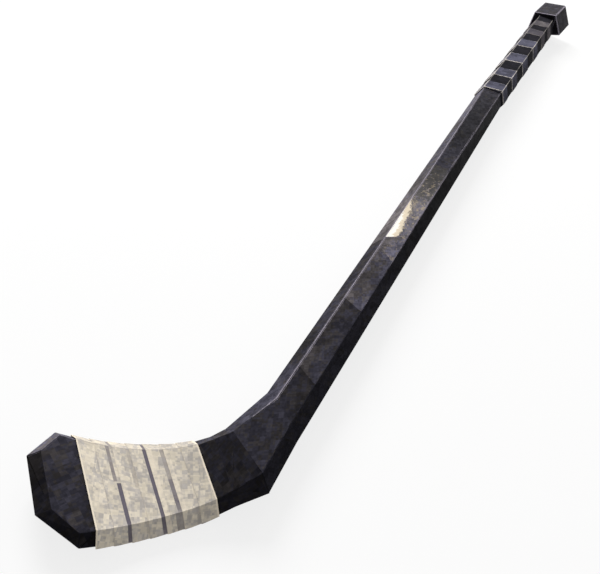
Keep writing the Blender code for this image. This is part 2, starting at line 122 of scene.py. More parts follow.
def origin():
    """Where the heel corner of the stick's axis lies in the frame."""
    return Vector((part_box("end_knob")[1].x - SHAFT_LENGTH - KNOB_LENGTH,
                   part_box("shaft_tube")[1].y - SHAFT_HALF_WIDTH, 0))


ORIGIN = origin()


# Shape of the solids

def mix(a, b, share):
    return a + (b - a) * share


def smooth(share):
    share = max(0.0, min(1.0, share))
    return share * share * (3 - 2 * share)


def grown(flat, ridge, half, grow):
    run = ridge - flat
    slant = math.hypot(run, half)
    return flat + grow * (slant - run) / half, ridge + grow * slant / half


def corners(flat_high, ridge_high, flat_low, ridge_low, half, grow):
    """Six corners (across, height) of a section, moved outward by grow."""
    fh, rh = grown(flat_high, ridge_high, half, grow)
    fl, rl = grown(-flat_low, -ridge_low, half, grow)
    top = half + grow
    return [(rh, 0), (fh, top), (-fl, top), (-rl, 0), (-fl, -top), (fh, -top)]


def axis_side(at):
    return -BUTT_SWAY * max(0.0, at - GRIP_AT) / (SHAFT_LENGTH - GRIP_AT)


def grip_ring(at, grow):
    """Six corners round the taped end of the shaft."""
    flat = mix(GRIP_FLAT, BUTT_FLAT, (at - GRIP_AT) / (SHAFT_LENGTH - GRIP_AT))
    share = (at - JOINT_AT) / (SHAFT_LENGTH - JOINT_AT)
    half = mix(JOINT_HALF_THICKNESS, BUTT_HALF_THICKNESS, share)
    outline = corners(flat, SHAFT_HALF_WIDTH, -flat, -SHAFT_HALF_WIDTH, half, grow)
    return [ORIGIN + Vector((at, axis_side(at) + y, AXIS_HEIGHT + z)) for y, z in outline]


def blade_half_thickness(s):
    return mix(HEEL_HALF_THICKNESS, TOE_HALF_THICKNESS, s / TOE_FLAT_END)


def blade_curve(s):
    """Rise of the blade's middle surface, and its slope from the belly to the toe."""
    if s < BELLY_START:
        high = AXIS_HEIGHT - TAPE_OUTSIDE - HEEL_HALF_THICKNESS
        return high * ((BELLY_START - s) / BELLY_START) ** 2, 0.0
    if s < BELLY_END:
        return 0.0, 0.0
    run = TOE_FLAT_END - BELLY_END
    share = (s - BELLY_END) / run
    return TOE_RISE * share ** 2, 2 * TOE_RISE * share / run


def sweep(s, heel, belly, toe):
    at_heel = (s - BELLY_START) * (s - TOE_CUT_AT) / (BELLY_START * TOE_CUT_AT)
    at_belly = s * (TOE_CUT_AT - s) / (BELLY_START * (TOE_CUT_AT - BELLY_START))
    at_toe = s * (s - BELLY_START) / (TOE_CUT_AT * (TOE_CUT_AT - BELLY_START))
    return heel * at_heel + belly * at_belly + toe * at_toe


def blade_point(s, t, height):
    rise, slope = blade_curve(s)
    off = height / math.hypot(1, slope)
    plan = ALONG * (s - slope * off) + ACROSS * t
    middle = TAPE_OUTSIDE + blade_half_thickness(s) + rise
    return ORIGIN + Vector((plan.x, plan.y, middle + off))


def blade_ring(s, grow):
    """Six corners round the blade."""
    top, bottom, top_run = (sweep(s, *sizes) for sizes in (TOP, BOTTOM, TOP_RUN))
    run = mix(*BOTTOM_RUN, s / TOE_FLAT_END)
    outline = corners(top, top + top_run, bottom, bottom - run, blade_half_thickness(s), grow)
    return [blade_point(s, t, z) for t, z in outline]


def blade_places():
    step = TAPE_PITCH / 2
    return [TAPE_START + step * i for i in range(-2, 2 * TAPE_TURNS + 1)] + [TOE_CUT_AT]


def point_on(section, places, at, side, share, grow):
    """A point on a taped stretch, whose sections are joined straight between certain places."""
    index = bisect.bisect_right(places, at, 1, len(places) - 1) - 1
    near = section(places[index], grow)
    far = section(places[index + 1], grow)
    along = (at - places[index]) / (places[index + 1] - places[index])
    here = near[side].lerp(far[side], along)
    after = (side + 1) % SIDES
    return here.lerp(near[after].lerp(far[after], along), share)


def tape_lay(turn):
    return TAPE_START + TAPE_PITCH * turn


def strip_lay(turn):
    pitch = (SHAFT_LENGTH - STRIP_END_GAP - GRIP_AT) / (STRIP_TURNS + STRIP_COVER)
    wander = STRIP_WANDER * math.sin(math.tau * turn / STRIP_TURNS)
    return GRIP_AT + pitch * turn - wander


def winding_steps(turns, front_step, shares):
    """Steps of a winding: the side, the share of that side, and the turns moved on.

    It starts on the high ridge, crosses the front and goes on over the back.
    """
    steps = []
    for lap in range(turns * SIDES + SIDES // 2):
        turn, side = divmod(lap, SIDES)
        for share in shares:
            place = (side + share) / (SIDES / 2)
            if place <= 1:
                moved = front_step * place
            else:
                moved = front_step + (1 - front_step) * (place - 1)
            steps.append((side, share, turn + moved))
    steps.append((SIDES // 2, 0.0, turns + front_step))
    return steps


# Colours

def srgb(*values):
    """A colour written as it looks, each part from 0 to 255."""
    out = []
    for value in values:
        v = value / 255
        out.append(v / 12.92 if v <= 0.04045 else ((v + 0.055) / 1.055) ** 2.4)
    return tuple(out)


def shade(color, factor):
    return tuple(c * factor for c in color)


# Settings a user would change

def color_setting(name, description, *color):
    return bpy.props.FloatVectorProperty(name=name, description=description, subtype="COLOR",
                                         size=3, min=0, max=1, default=srgb(*color))


def setting(name, description, default, **options):
    return bpy.props.FloatProperty(name=name, description=description, default=default, min=0,
                                   **options)


def length_setting(*words_and_default):
    return setting(*words_and_default, unit="LENGTH", precision=5)


def share_setting(*words_and_default):
    return setting(*words_and_default, max=1, subtype="FACTOR")


class StickPaintSettings(bpy.types.PropertyGroup):
    """Paint, wear and painted highlight of the shaft, neck, blade and knob."""

    edge_width: length_setting("Edge width", "Width of the chamfer on the sharp edges", 0.0004)
    rim_width: length_setting("Rim width", "How far the rubbed rim reaches into a flat", 0.0008)
    blue_paint: color_setting("Blue-black paint", "Cooler patches", 48, 47, 56)
    brown_paint: color_setting("Brown-black paint", "Warmer patches", 52, 49, 50)
    bare_edge: color_setting("Bare edge", "Where the paint is rubbed through", 152, 146, 158)
    # Flecks above the joint: partly scuffs, partly a painted highlight broken up into flecks
    cream_scuff: color_setting("Cream scuffs", "Scuffed flecks above the joint", 164, 149, 126)
    violet_scuff: color_setting("Violet scuffs", "Scuffed flecks above the joint", 106, 101, 120)
    # A painted highlight above the joint, where the glint light's reflection is painted on: a
    # cream patch with a white core
    painted_cream_highlight: color_setting("Cream patch", "Half-bare patch above the joint", 222, 208, 184)
    painted_white_highlight: color_setting("Bare patch", "Patch worn smooth above the joint", 255, 251, 242)


class StickTapeSettings(bpy.types.PropertyGroup):
    """Cloth tape on the blade."""

    cloth_thickness: length_setting("Cloth thickness", "Thickness of one layer", 0.00025)
    lap: share_setting("Lap", "Share of its width that a turn laps over the next", 0.04)
    cloth: color_setting("Cloth", "Clean cloth", 222, 212, 194)
    grey_cloth: color_setting("Grey cloth", "Rubbed, greyed patches", 184, 178, 172)
    rim: color_setting("Rim", "Raised far edge of each turn", 240, 228, 208)
    # Painted shadow: the slate line beside each raised edge, where it shades the next turn
    soil_and_shadow: color_setting("Soil", "Soiled line beside a raised edge", 100, 95, 108)


class StickGripSettings(bpy.types.PropertyGroup):
    """Dark under-wrap and the lighter strip wound over it."""

    wrap_outside: length_setting("Wrap outside", "Height of the under-wrap's surface", 0.0011)
    strip_outside: length_setting("Strip outside", "Height of the strip's surface", 0.0016)
    fray: length_setting("Fray", "How far the strip's edges stray", 0.0006)
    bow: length_setting("Bow", "How far the strip runs ahead at the low corner", 0.0025)
    wrap: color_setting("Under-wrap", "Dark cloth", 30, 29, 36)
    strip: color_setting("Strip", "Grey-blue cloth", 88, 88, 104)
    frayed: color_setting("Frayed edge", "Bare threads", 205, 198, 192)
    handled: color_setting("Handled strip", "Browned turns near the knob", 76, 71, 74)


class StickStageSettings(bpy.types.PropertyGroup):
    """Floor, lights and room."""

    key_power: setting("Key light", "Power of the large light", 62, unit="POWER")
    glint_power: setting("Glint light", "Power of the small light beyond the knob", 6,
                         unit="POWER")
    room: setting("Room", "Strength of the white room", 0.36)
    floor_glow: share_setting("Floor glow", "How far the floor's shadow fades to white", 0.8)
    floor_size: length_setting("Floor size", "Half the side of the floor", 6.0)


# Mesh tools

def follow_edges(chain, fresh):
    """The new vertices of an extruded chain, in the chain's order."""
    return [next(e.other_vert(v) for e in v.link_edges if e.other_vert(v) in fresh) for v in chain]


def extrude_chain(bm, sections):
    """Extrude a chain of edges through places that are given point by point."""
    chain = [bm.verts.new(p) for p in sections[0]]
    for pair in zip(chain, chain[1:]):
        bm.edges.new(pair)
    rows = [chain]
    for places in sections[1:]:
        edges = [bm.edges.get(pair) for pair in zip(chain, chain[1:])]
        made = bmesh.ops.extrude_edge_only(bm, edges=edges)["geom"]
        fresh = {g for g in made if isinstance(g, bmesh.types.BMVert)}
        chain = follow_edges(chain, fresh)
        for vert, place in zip(chain, places):
            vert.co = place
        rows.append(chain)
    return rows


def put_in_scene(name, data):
    """A new object in the scene."""
    made = bpy.data.objects.new(name, data)
    bpy.context.scene.collection.objects.link(made)
    return made


def put_mesh_in_scene(name, bm, material):
    """A new object with the mesh, which is then freed, and one material."""
    mesh = bpy.data.meshes.new(name)
    bm.to_mesh(mesh)
    bm.free()
    mesh.materials.append(material)
    return put_in_scene(name, mesh)


def add_piece(bm, name, material, slot, *nodes):
    """Turn the mesh into a named piece that rides on the stick and stands for CAD nodes."""
    piece = put_mesh_in_scene(name, bm, material)
    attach(piece, BODY)
    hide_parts(*nodes)
    return piece


def is_narrow(face):
    return face.calc_area() / max(e.calc_length() for e in face.edges) < NARROW_FACE


def softened_copy(node, edge_width, rim_width, shown):
    """A merged copy of a solid, with chamfered edges and a rim round each of its shown flats."""
    bm = bmesh.new()
    bm.from_mesh(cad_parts[node].data)
    bmesh.ops.remove_doubles(bm, verts=bm.verts[:], dist=MERGE_WITHIN)
    if edge_width:
        sharp = [e for e in bm.edges if e.is_manifold and e.calc_face_angle(0) > SHARP_ANGLE
                 and all(shown(f) for f in e.link_faces)]
        bmesh.ops.bevel(bm, geom=sharp, offset=edge_width, offset_type="OFFSET", segments=1,
                        profile=0.5, affect="EDGES", clamp_overlap=True, material=-1)
    flats = {f for f in bm.faces if shown(f) and not is_narrow(f)}
    outer = {v for f in bm.faces if f not in flats for v in f.verts}
    rims = set(bmesh.ops.inset_region(bm, faces=list(flats), thickness=rim_width,
                                      use_boundary=True, use_even_offset=True)["faces"])
    layer = bm.loops.layers.float.new("edge")
    for face in bm.faces:
        for loop in face.loops:
            if face in rims:
                loop[layer] = 1.0 if loop.vert in outer else 0.0
            else:
                loop[layer] = 0.0 if face in flats else 1.0
    return bm


def lay_flat(bm, along, grain):
    """Lay every face out in metres as a UV map, and once more turned to the grain of the paint."""
    flat, turned = (bm.loops.layers.uv.new(name) for name in ("flat", "grain"))
    for face in bm.faces:
        n = face.normal
        a = along - n * n.dot(along)
        if a.length < 0.3:
            a = UP.cross(n)
        a = a.normalized()
        b = n.cross(a)
        for loop in face.loops:
            p = loop.vert.co - ORIGIN
            u, v = p.dot(a), p.dot(b)
            loop[flat].uv = (u, v)
            loop[turned].uv = [u * part[0] + v * part[1] for part in grain]


def cut_across(bm, stations):
    """Cut the shaft's flats at each place where a profile turns."""
    for at in stations:
        bmesh.ops.bisect_plane(bm, geom=bm.verts[:] + bm.edges[:] + bm.faces[:],
                               plane_co=ORIGIN + Vector((at, 0, 0)), plane_no=(1, 0, 0))


def paint_faces(bm, painter):
    """Store what the painter says of each corner of each face: painted light and shade, coolness,
    wear, and scuffs with a painted highlight.
    """
    layers = [bm.loops.layers.float.new(name) for name in ("painted_light", "cool", "wear", "scuff_and_highlight")]
    edge = bm.loops.layers.float["edge"]
    for face in bm.faces:
        middle = face.calc_center_median()
        for loop in face.loops:
            painted_light, cool, wear, scuff_and_highlight = painter(middle, face.normal, loop.vert.co)
            for layer, value in zip(layers, (painted_light, cool, wear * loop[edge], scuff_and_highlight)):
                loop[layer] = value


def profile_at(stops, place):
    """Read a profile that is given as (place, value) pairs."""
    for (near, a), (far, b) in zip(stops, stops[1:]):
        if place <= far:
            return mix(a, b, max(0.0, (place - near) / (far - near)))
    return stops[-1][1]


# Material tools

class Net:
    """Adds nodes to a tree; inputs are given by name or number, as values or as sockets."""

    def __init__(self, tree):
        self.tree = tree

    def feed(self, node, inputs):
        for key, value in inputs.items():
            if isinstance(value, bpy.types.NodeSocket):
                self.tree.links.new(value, node.inputs[key])
            else:
                node.inputs[key].default_value = value

    def add(self, kind, inputs=None, **settings):
        node = self.tree.nodes.new("ShaderNode" + kind)
        for key, value in settings.items():
            setattr(node, key, value)
        self.feed(node, inputs or {})
        return node

    def math(self, operation, a, b=0.0, c=0.0, clamp=False):
        node = self.add("Math", {0: a, 1: b, 2: c}, operation=operation, use_clamp=clamp)
        return node.outputs[0]

    def vector(self, operation, a, b=(0, 0, 0), scale=1.0):
        inputs = {0: a, 1: b, 3: scale}
        return self.add("VectorMath", inputs, operation=operation).outputs[0]

    def place(self, x, y, z=0.0):
        return self.add("CombineXYZ", {0: x, 1: y, 2: z}).outputs[0]

    def noise(self, place, scale, detail, roughness=0.5):
        inputs = {"Vector": place, "Scale": scale, "Detail": detail, "Roughness": roughness}
        return self.add("TexNoise", inputs).outputs[0]

    def ramp(self, value, low, high, to_low=0.0, to_high=1.0):
        inputs = {0: value, 1: low, 2: high, 3: to_low, 4: to_high}
        return self.add("MapRange", inputs, interpolation_type="SMOOTHSTEP").outputs[0]

    def blend(self, factor, a, b, mode="MIX"):
        node = self.add("Mix", {0: factor, 6: a, 7: b}, data_type="RGBA", blend_type=mode)
        return node.outputs[2]

    def colors(self, value, stops):
        """A colour ramp through (place, colour) stops."""
        node = self.add("ValToRGB", {0: value})
        ramp = node.color_ramp
        while len(ramp.elements) < len(stops):
            ramp.elements.new(0.5)
        for element, (place, color) in zip(ramp.elements, stops):
            element.position = place
            element.color = (*color, 1)
        return node.outputs[0]

    def bump(self, height, strength, distance=0.0002):
        inputs = {"Height": height, "Strength": strength, "Distance": distance}
        return self.add("Bump", inputs).outputs[0]

    def attribute(self, name):
        return self.add("Attribute", attribute_type="GEOMETRY", attribute_name=name).outputs["Fac"]

    def group(self, name, inputs):
        """Place one of the shared effects."""
        if name not in GROUPS:
            GROUPS[name] = EFFECTS[name]()
        return self.add("Group", inputs, node_tree=GROUPS[name]).outputs


class Effect(Net):
    """A node group in the making, with named inputs and outputs."""

    KINDS = {float: "NodeSocketFloat", tuple: "NodeSocketVector"}

    def __init__(self, name, inputs, outputs):
        super().__init__(bpy.data.node_groups.new(name, "ShaderNodeTree"))
        face = self.tree.interface
        for socket, default in inputs.items():
            made = face.new_socket(socket, in_out="INPUT", socket_type=self.KINDS[type(default)])
            made.default_value = default
        for socket in outputs:
            face.new_socket(socket, in_out="OUTPUT", socket_type="NodeSocketFloat")
        self.start = self.tree.nodes.new("NodeGroupInput").outputs
        self.end = self.tree.nodes.new("NodeGroupOutput")

    def finish(self, **outputs):
        self.feed(self.end, outputs)
        return self.tree


def mottle_effect():
    """Blocky patches in three sizes: how light they are, and how cool."""
    net = Effect("Blocky Mottle", {"Vector": (0.0, 0.0, 0.0), "Block": (0.005, 0.003, 1.0),
                                   "Seed": 0.0}, ("Value", "Cool"))
    value = cool = 0.0
    for size, weight, shift in ((2.1, 0.30, 0.31), (1.0, 0.40, 0.57), (0.45, 0.30, 0.13)):
        block = net.vector("SCALE", net.start["Block"], scale=size)
        cell = net.vector("DIVIDE", net.start["Vector"], block)
        cell = net.vector("FLOOR", net.vector("ADD", cell, (shift, shift * 2.1, shift * 3.7)))
        seed = net.math("ADD", net.start["Seed"], size)
        noise = net.add("TexWhiteNoise", {"Vector": cell, "W": seed}, noise_dimensions="4D")
        value = net.math("MULTIPLY_ADD", noise.outputs["Value"], weight, value)
        parts = net.add("SeparateColor", {0: noise.outputs["Color"]}).outputs
        cool = net.math("MULTIPLY_ADD", parts[1], weight, cool)
    return net.finish(Value=value, Cool=cool)


def wear_effect():
    """Where an edge is rubbed bare: the wear mask, broken up by noise."""
    net = Effect("Edge Wear", {"Wear": 0.0, "Vector": (0.0, 0.0, 0.0)}, ("Mask",))
    fine = net.noise(net.start["Vector"], 420.0, 3.0)
    patch = net.noise(net.start["Vector"], 48.0, 2.0)
    level = net.math("MULTIPLY_ADD", fine, 0.5, net.start["Wear"])
    level = net.math("MULTIPLY_ADD", patch, 0.7, level)
    mask = net.math("MULTIPLY", net.math("SUBTRACT", level, 1.12), 3.2, clamp=True)
    return net.finish(Mask=mask)


def weave_effect():
    """Plain weave from places along and across a strip, with uneven threads."""
    net = Effect("Plain Weave", {"Run": 0.0, "Across": 0.0, "Pitch": 0.0007}, ("Height", "Slub"))
    waves = []
    for name in ("Run", "Across"):
        turn = net.math("DIVIDE", net.start[name], net.start["Pitch"])
        waves.append(net.math("SINE", net.math("MULTIPLY", turn, math.tau)))
    height = net.math("MULTIPLY_ADD", net.math("MULTIPLY", *waves), 0.5, 0.5)
    slubs = []
    for first, second in (("Run", "Across"), ("Across", "Run")):
        x = net.math("MULTIPLY", net.start[first], 1400.0)
        y = net.math("MULTIPLY", net.start[second], 60.0)
        slubs.append(net.noise(net.place(x, y), 1.0, 1.0))
    slub = net.math("MULTIPLY", net.math("ADD", *slubs), 0.5)
    return net.finish(Height=height, Slub=slub)


def streak_effect():
    """Thin streaks, longer than they are wide."""
    net = Effect("Fine Streaks", {"Vector": (0.0, 0.0, 0.0), "Length": 0.014, "Width": 0.0011,
                                  "Seed": 0.0}, ("Value",))
    parts = net.add("SeparateXYZ", {0: net.start["Vector"]}).outputs
    x = net.math("DIVIDE", parts[0], net.start["Length"])
    y = net.math("DIVIDE", parts[1], net.start["Width"])
    return net.finish(Value=net.noise(net.place(x, y, net.start["Seed"]), 1.0, 3.0, 0.6))


GROUPS = {}
EFFECTS = {"mottle": mottle_effect, "wear": wear_effect, "weave": weave_effect,
           "streak": streak_effect}


def new_material(name, **constants):
    material = bpy.data.materials.new(name)
    material.use_nodes = True
    shader = material.node_tree.nodes["Principled BSDF"]
    for key, value in constants.items():
        shader.inputs[key.replace("_", " ")].default_value = value
    return material, Net(material.node_tree), shader


# Paint: how light its patches are, from the darkest to the lightest, and how large
PAINT_STEPS = ((0.16, 0.58), (0.36, 0.80), (0.5, 1.0), (0.64, 1.19), (0.84, 1.55))
PAINT_BLOCK = (0.0046, 0.0032, 1.0)
SCUFF_BLOCK = (0.0034, 0.0021, 1.0)
SCUFF_SEED = 21.0

# The violet rim on the low edge: where it starts and is full, across the front flat
RIM_START, RIM_FULL = -0.0068, -0.0090

# The painted highlight above the joint, a cream patch and a white one: where the edge of each lies
# across the flat, and its length
CREAM_HIGHLIGHT_EDGE, CREAM_HIGHLIGHT_LENGTH = 0.0004, 0.072
WHITE_HIGHLIGHT_EDGE, WHITE_HIGHLIGHT_LENGTH = 0.0042, 0.061
HIGHLIGHT_CURVE = 0.009      # how far an edge comes in by its end
HIGHLIGHT_RAGGEDNESS = 0.0050      # how ragged it is


def painted_material(name, seed, scuffed_and_highlit=False):
    """Blue-black and brown-black paint in blocky patches, rubbed bare along its edges, with
    painted light and shade facet by facet, and a painted highlight above the joint when scuffed.
    """
    paint = bpy.context.scene.stick_paint
    material, net, shader = new_material(name, Specular_IOR_Level=0.02, Coat_Roughness=0.3)
    uv = net.add("UVMap", uv_map="flat").outputs[0]
    grain = net.add("UVMap", uv_map="grain").outputs[0]
    value, cool = net.group("mottle", {"Vector": grain, "Block": PAINT_BLOCK, "Seed": seed})[:2]
    streak = net.group("streak", {"Vector": grain, "Seed": seed})[0]
    value = net.math("MULTIPLY_ADD", streak, 0.4, net.math("SUBTRACT", value, 0.2))
    blue = net.colors(value, [(place, shade(paint.blue_paint, f)) for place, f in PAINT_STEPS])
    brown = net.colors(value, [(place, shade(paint.brown_paint, f)) for place, f in PAINT_STEPS])
    cool = net.math("ADD", cool, net.attribute("cool"))
    color = net.blend(net.ramp(cool, 0.38, 0.62), brown, blue)
    # Painted light and shade: the colour is scaled facet by facet, lighter where a facet faces the
    # light, darker in shade
    color = net.blend(1.0, color, net.attribute("painted_light"), "MULTIPLY")
    rough = net.math("MULTIPLY_ADD", value, -0.2, 0.66)
    # Scuffs, gloss and a painted highlight above the joint
    if scuffed_and_highlit:
        color, rough, coat = scuffs_and_painted_highlight(net, paint, uv, grain, color, rough)
        net.feed(shader, {"Coat Weight": coat})
    wear = net.group("wear", {"Wear": net.attribute("wear"), "Vector": uv})[0]
    bare = net.blend(net.ramp(value, 0.3, 0.7), (*shade(paint.bare_edge, 0.7), 1),
                     (*paint.bare_edge, 1))
    color = net.blend(wear, color, bare)
    bump = net.bump(net.math("MULTIPLY_ADD", wear, -0.6, value), 0.15)
    net.feed(shader, {"Base Color": color, "Roughness": rough, "Normal": bump})
    return material


def scuffs_and_painted_highlight(net, paint, uv, grain, color, rough):
    """The stretch around and above the joint that the lower hand has scuffed and polished, with a
    painted highlight on it: cream and white patches along its high edge.
    """
    x, y = net.add("SeparateXYZ", {0: uv}).outputs[:2]
    amount = net.attribute("scuff_and_highlight")
    # Cream and violet flecks, thickest where the highlight is painted: partly scuffs, partly the
    # painted highlight broken up
    fleck, hue = net.group("mottle", {"Vector": grain, "Block": SCUFF_BLOCK,
                                      "Seed": SCUFF_SEED})[:2]
    low = net.math("MULTIPLY_ADD", amount, -0.24, 0.78)
    mask = net.ramp(net.math("SUBTRACT", fleck, low), -0.05, 0.12)
    mask = net.math("MULTIPLY", mask, net.ramp(amount, 0.02, 0.6, 0.0, 0.6))
    tint = net.blend(net.ramp(hue, 0.40, 0.60), (*paint.violet_scuff, 1), (*paint.cream_scuff, 1))
    color = net.blend(mask, color, tint)
    # The low edge is rubbed to a violet rim, which fades along the shaft
    rim = net.ramp(y, RIM_START, RIM_FULL)
    rim = net.math("MULTIPLY", rim, net.ramp(amount, 0.2, 1.0, 0.0, 0.75))
    color = net.blend(rim, color, (*shade(paint.violet_scuff, 1.25), 1))
    # Both patches of painted highlight, the cream and the white, start sharply at the joint and
    # lie along the edge on the blade's side
    beyond = net.math("SUBTRACT", net.math("MULTIPLY_ADD", y, -JOINT_SKEW, x), JOINT_AT)
    start = net.math("MULTIPLY", net.ramp(beyond, 0.0, 0.0005), net.ramp(amount, 0.5, 0.6))
    ragged = net.math("MULTIPLY_ADD", fleck, HIGHLIGHT_RAGGEDNESS, -HIGHLIGHT_RAGGEDNESS / 2)
    for shade_of, edge, length in ((paint.painted_cream_highlight, CREAM_HIGHLIGHT_EDGE, CREAM_HIGHLIGHT_LENGTH),
                                   (paint.painted_white_highlight, WHITE_HIGHLIGHT_EDGE, WHITE_HIGHLIGHT_LENGTH)):
        share = net.math("DIVIDE", beyond, length)
        border = net.math("MULTIPLY_ADD", net.math("POWER", share, 3.0), HIGHLIGHT_CURVE, ragged)
        inside = net.math("SUBTRACT", net.math("SUBTRACT", y, border), edge)
        patch = net.math("MULTIPLY", net.ramp(inside, -0.0009, 0.0009), start)
        ends = net.math("MULTIPLY_ADD", fleck, -0.024, length + 0.012)
        over = net.math("SUBTRACT", beyond, ends)
        patch = net.math("MULTIPLY", patch, net.ramp(over, 0.004, -0.004))
        color = net.blend(patch, color, (*shade_of, 1))
    gloss = net.math("MULTIPLY", amount, 0.22)
    rough = net.math("MULTIPLY_ADD", gloss, -0.3, rough)
    return color, rough, gloss


# Painted light and shade of the facets, as brightness factors: profiles along the shaft, in
# millimetres from the heel.
# The front and high flats carry a painted highlight around the joint; the low flats are painted in
# shade.
FRONT_PAINTED_LIGHT = ((6, 0.95), (48, 0.9), (49, 0.75), (83, 0.6), (84, 1.4), (105, 1.25), (120, 0.9),
              (166, 0.82), (168, 2.4), (185, 2.1), (200, 1.25), (240, 2.3), (242, 3.2),
              (267, 2.8), (269, 2.4), (290, 2.7), (325, 2.8), (345, 1.05), (385, 0.36), (406, 0.5),
              (408, 1.0), (440, 0.88), (465, 0.5), (480, 0.38), (560, 0.38), (600, 0.62),
              (626, 0.74))
HIGH_PAINTED_LIGHT = ((0, 1.3), (60, 1.9), (84, 1.0), (120, 0.5), (140, 1.1), (240, 0.85), (267, 1.1),
             (269, 2.5), (300, 3.9), (330, 3.7), (370, 1.6), (440, 2.2), (520, 1.8), (560, 2.7),
             (626, 3.4))
LOW_PAINTED_LIGHT = ((0, 0.38), (160, 0.36), (200, 0.44), (230, 0.26), (262, 0.2), (300, 0.16),
            (360, 0.07), (560, 0.06), (590, 0.14), (626, 0.36))
# How strongly scuffs, gloss and the painted highlight show along the shaft
SCUFF_AND_HIGHLIGHT_PROFILE = ((240, 0.0), (241.5, 0.4), (267, 0.4), (269, 1.0), (330, 1.0), (345, 0.8),
                 (375, 0.45), (406, 0.25), (408, 0.0))
BEND_MM, LOWER_MM, PAST_JOINT_MM, PAST_UPPER_MM = 48, 84, 269, 408

# Places where the shaft's flats are cut, so that the painted light and shade can change there
SHAFT_CUTS = sorted({place / 1000 for profile in (FRONT_PAINTED_LIGHT, HIGH_PAINTED_LIGHT, LOW_PAINTED_LIGHT)
                     for place, _ in profile if place > LOWER_MM} | {0.34, 0.375})


def zone_start(point):
    """Where the facet of a point starts along the shaft, at its skewed line."""
    local = point - ORIGIN
    side = local.y - axis_side(local.x)
    passed = [at for at, skew in ZONES.values() if local.x >= at + skew * side - ZONE_TOLERANCE]
    return passed[-1] if passed else 0.0


def shaft_painter(middle, normal, point):
    """Painted light and shade, coolness, wear, and scuffs with a painted highlight, of the shaft
    and neck.
    """
    local = point - ORIGIN
    start = zone_start(middle)
    place = 1000 * max(start + 0.001, local.x)
    following = [at for at, _ in ZONES.values() if at > start + 0.001]
    if following:
        place = min(place, 1000 * following[0] - 1)
    high = local.y > axis_side(local.x)
    height = local.z - AXIS_HEIGHT
    cool = scuff_and_highlight = 0.0
    if abs(normal.z) > 0.85:
        # Front flats: painted light along the shaft, with a painted highlight lobe around the
        # joint
        painted_light = profile_at(FRONT_PAINTED_LIGHT, place)
        cool = 0.14 if place < BEND_MM else 0.0 if place < LOWER_MM else -0.22 if high else 0.2
        if place > PAST_UPPER_MM:
            cool = 0.2
        elif place > PAST_JOINT_MM and not high:
            cool = 0.05
        if normal.z < 0:
            painted_light = 0.8
        elif normal.z > 0.97:
            # Scuffs, gloss and a painted highlight on the front flats above the joint
            scuff_and_highlight = profile_at(SCUFF_AND_HIGHLIGHT_PROFILE, place)
    elif high:
        # High flats, facing the key light: painted lighter, with a painted highlight past the
        # joint
        painted_light = profile_at(HIGH_PAINTED_LIGHT, place)
        cool = profile_at(((40, 0.3), (86, 0.3), (90, 0.0), (240, 0.05), (262, -0.3),
                           (407, -0.2), (408, 0.0)), place)
    else:
        # Low flats: painted shade
        painted_light = profile_at(LOW_PAINTED_LIGHT, place)
        cool = 0.2
    if abs(height) < 0.004:
        wear = 0.25
    elif high:
        wear = profile_at(((0, 0.15), (30, 0.45), (45, 0.9), (480, 0.9), (626, 0.75)), place)
    else:
        wear = profile_at(((0, 0.2), (150, 0.35), (240, 0.6), (440, 0.75), (626, 0.8)), place)
    return painted_light, cool, wear, scuff_and_highlight


def blade_painter(middle, normal, point):
    """Painted light and shade, coolness, wear and scuffs (none) of the blade's two skins."""
    local = middle - ORIGIN
    s, t = local.dot(ALONG), local.dot(ACROSS)
    heel = s < TAPE_START + 0.02
    toe_end = normal.dot(ALONG)
    cool = 0.0
    if abs(normal.z) > 0.8:
        # Front flats: darker on the heel's front; facets turned to the toe's end painted in shade
        painted_light, cool = (0.56, 0.0) if heel else (1.0, 0.05)
        if not heel and toe_end > 0.1:
            painted_light, cool = 0.36, -0.1
    elif normal.dot(ACROSS) > 0.3:
        # Top slopes, facing the key light: painted light
        painted_light = 1.5 if heel else 3.5
    else:
        # Low slopes and the toe's end: painted shade
        painted_light = 0.3 if toe_end > 0.5 and normal.dot(ACROSS) > -0.3 else 0.34
    wear = 0.15 if heel else 0.6 if t > 0.045 else 0.35
    return painted_light, cool, wear, 0.0


def knob_painter(middle, normal, point):
    """Painted light and shade, coolness, wear and scuffs (none) of the knob."""
    local = point - ORIGIN
    near = local.x < SHAFT_LENGTH + 0.004
    # Painted light and shade: the top lighter than the sides, and the face towards the grip near
    # black
    painted_light, cool = (0.92, 0.06) if normal.z > 0.85 else (0.62, 0.1)
    painted_light = 0.22 if normal.x < -0.6 else painted_light
    wear = 0.95 if near or local.z > AXIS_HEIGHT + 0.015 else 0.4
    return painted_light, cool, wear, 0.0


def faces_out(face):
    """Whether a face of the shaft or neck is on its outside."""
    local = face.calc_center_median() - ORIGIN
    away = local - Vector((local.x, axis_side(local.x), AXIS_HEIGHT))
    return away.dot(face.normal) > 0 and abs(face.normal.x) < 0.6


# Windings

def cloth_layers(bm):
    """Layers for where the cloth runs, how it is worn, its painted light and shade, and its soil
    and painted shadow lines.
    """
    return [bm.verts.layers.float.new(name) for name in ("run", "across", "painted_light", "wear", "soil_and_shadow")]


def store(vert, layers, *values):
    for layer, value in zip(layers, values):
        vert[layer] = value


